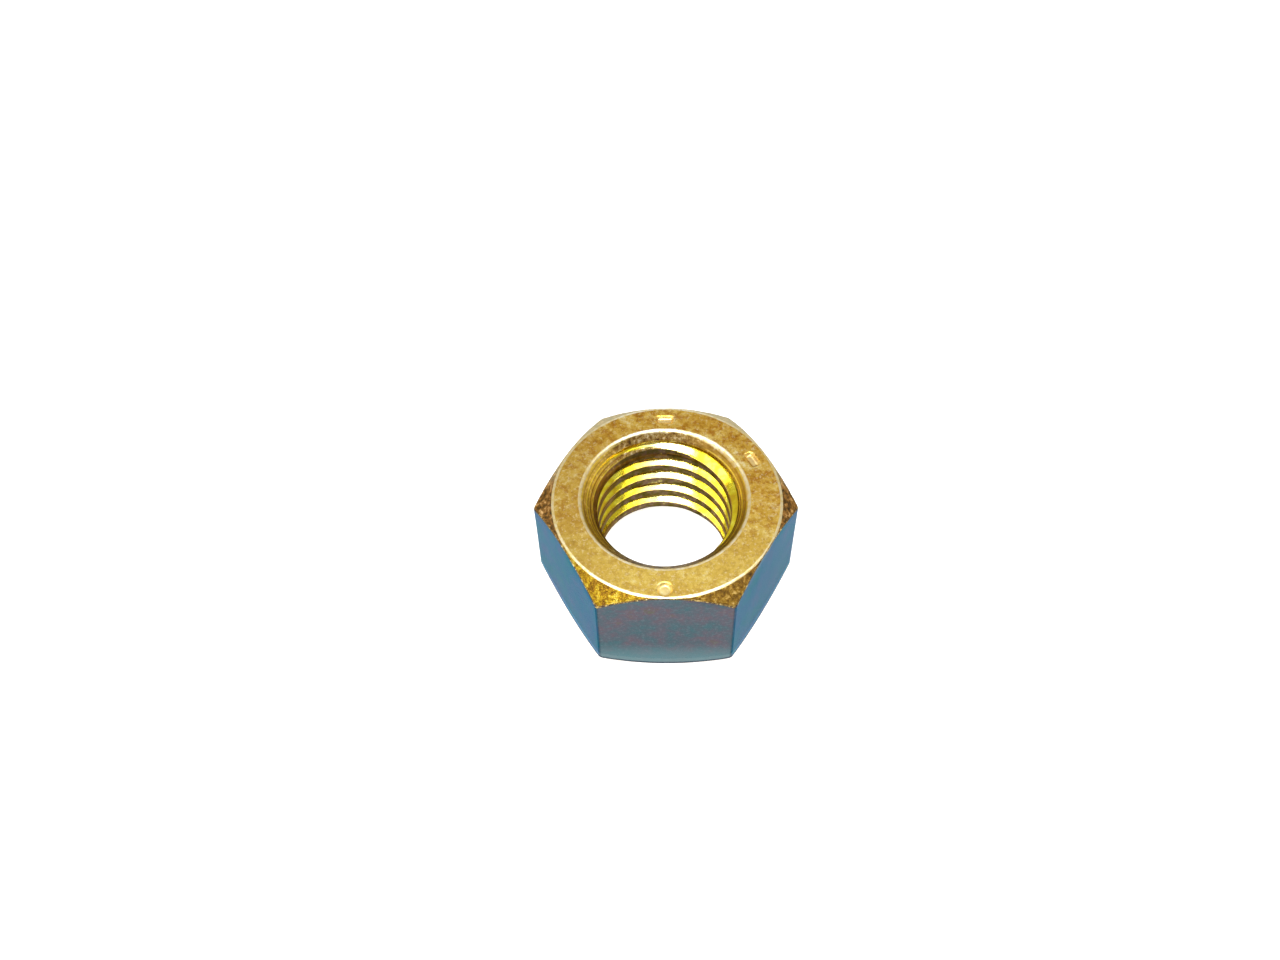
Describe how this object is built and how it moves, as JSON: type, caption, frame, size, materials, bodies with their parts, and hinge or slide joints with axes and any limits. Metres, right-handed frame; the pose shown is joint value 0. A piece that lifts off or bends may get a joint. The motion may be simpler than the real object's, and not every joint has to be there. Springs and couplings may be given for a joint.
{
  "type": "hex nut",
  "caption": "Hexagonal nut with a helical right-hand internal thread, a countersink at each end, chamfered corners and stamped grade marks in its upper face.",
  "frame": {"origin": "centre of the lower bearing face, on the thread axis", "axes": "+Z along the thread axis towards the face with the grade marks, +X through a corner, +Y square to a flat"},
  "size_m": [0.0274, 0.0238, 0.0136],
  "materials": {
    "yellow_zinc_steel": "zinc plate with an iridescent yellow chromate, semi-bright, mottled gold, brown and steel blue"
  },
  "bodies": {
    "root": {"hex_nut": "yellow_zinc_steel"}
  },
  "joints": []
}
